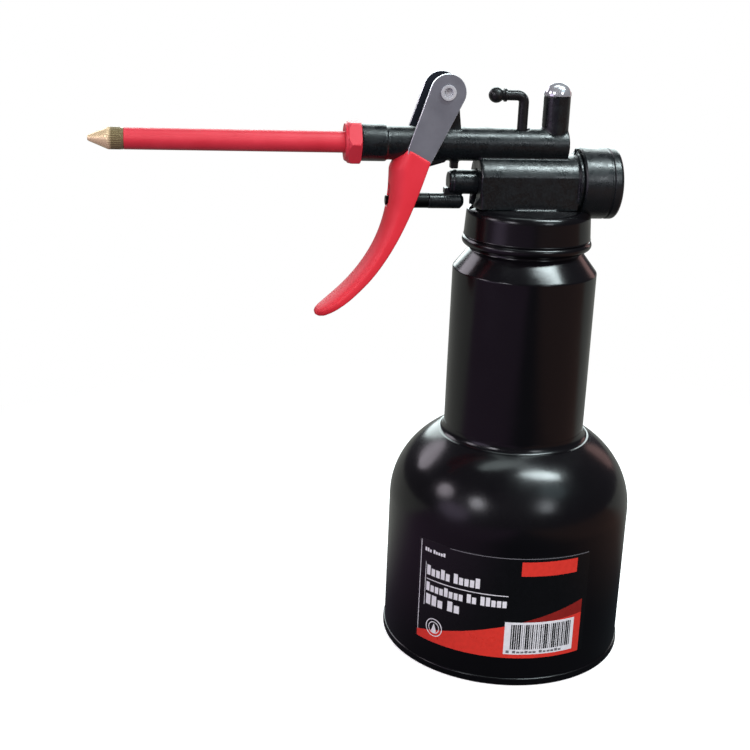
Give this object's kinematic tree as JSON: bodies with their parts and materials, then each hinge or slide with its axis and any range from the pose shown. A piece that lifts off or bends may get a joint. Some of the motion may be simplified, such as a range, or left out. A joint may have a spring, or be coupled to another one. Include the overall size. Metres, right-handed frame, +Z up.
{
  "type": "pump oil can",
  "caption": "Round metal bottle with a tall neck, a screwed-on pump head, a pivoting squeeze lever, a shut-off cock and a long straight spout.",
  "frame": {"origin": "the bottle's axis on the plane that it stands on", "axes": "+Z up along the bottle's axis, the spout points to -X, the lever's pivot pin lies along Y"},
  "size_m": [0.1945, 0.0894, 0.2085],
  "materials": {
    "can_paint": "gloss black paint on tinplate",
    "label_film": "printed gloss film",
    "cast_black": "satin black over sandy die casting",
    "end_cap_black": "satin black, machined edges",
    "handle_black": "satin black on steel rod",
    "seal_rubber": "nitrile rubber",
    "bare_steel": "bare pressed steel",
    "bright_steel": "bright zinc-plated steel",
    "dark_steel": "dark oxide steel",
    "chrome_dome": "polished chrome",
    "grip_red": "glossy dipped PVC",
    "spout_red": "gloss red paint",
    "brass": "turned brass, dulled",
    "tube_plastic": "translucent polyethylene"
  },
  "bodies": {
    "can": {"can_body": "can_paint", "can_neck": "can_paint", "base_plate": "can_paint", "label": "label_film"},
    "neck_seal": {"head_gasket": "seal_rubber"},
    "head": {"screw_cap": "can_paint", "pump_body": "cast_black", "barrel_end_cap": "end_cap_black", "end_cap_seal": "seal_rubber", "gland_seal": "seal_rubber", "inlet_valve_body": "brass", "inlet_valve_pin": "bright_steel", "suction_tube": "tube_plastic", "suction_strainer": "tube_plastic", "outlet_valve_cap": "chrome_dome", "outlet_valve_spring": "bright_steel", "spout_nut": "spout_red", "spout_ferrule": "brass", "spout_tube": "spout_red", "nozzle_tip": "brass", "cock_clip": "dark_steel", "return_spring": "bright_steel"},
    "plunger": {"crosshead": "cast_black", "push_rod": "dark_steel", "plunger_rod": "bright_steel", "piston": "bright_steel", "piston_seal": "seal_rubber", "piston_screw": "bright_steel"},
    "lever": {"lever_plate": "bare_steel", "lever_nose": "bare_steel", "lever_grip": "grip_red", "pivot_rivet": "bright_steel", "drive_pin": "bright_steel"},
    "cock": {"cock_handle": "handle_black", "cock_knob": "handle_black", "cock_seal": "seal_rubber"},
    "inlet_ball": {"inlet_ball": "bright_steel"},
    "outlet_ball": {"outlet_ball": "bright_steel"}
  },
  "joints": [
    {"name": "head_turn", "type": "hinge", "parent": "can", "child": "neck_seal", "pos_m": [0, 0, 0.157], "axis": [0, 0, 1], "continuous": true},
    {"name": "head_lift", "type": "slide", "parent": "neck_seal", "child": "head", "axis": [0, 0, 1], "range_m": [0, 0.165]},
    {"name": "lever_pull", "type": "hinge", "parent": "head", "child": "lever", "pos_m": [-0.032, 0, 0.2024], "axis": [0, -1, 0], "range_deg": [0, 14], "stiffness_Nm_per_rad": 0.35, "springref_deg": -20.05},
    {"name": "plunger_slide", "type": "slide", "parent": "head", "child": "plunger", "axis": [1, 0, 0], "range_m": [0, 0.0092], "deforming": ["return_spring"]},
    {"name": "cock_turn", "type": "hinge", "parent": "head", "child": "cock", "pos_m": [-0.0044, 0, 0.1848], "axis": [0, 0, 1], "range_deg": [0, 90]},
    {"name": "inlet_ball_lift", "type": "slide", "parent": "head", "child": "inlet_ball", "axis": [0, 0, 1], "range_m": [0, 0.0025]},
    {"name": "outlet_ball_lift", "type": "slide", "parent": "head", "child": "outlet_ball", "axis": [0, 0, 1], "range_m": [0, 0.0015], "deforming": ["outlet_valve_spring"]}
  ],
  "couplings": [
    {"joint": "plunger_slide", "follows": "lever_pull", "m_per_rad": 0.03765}
  ]
}
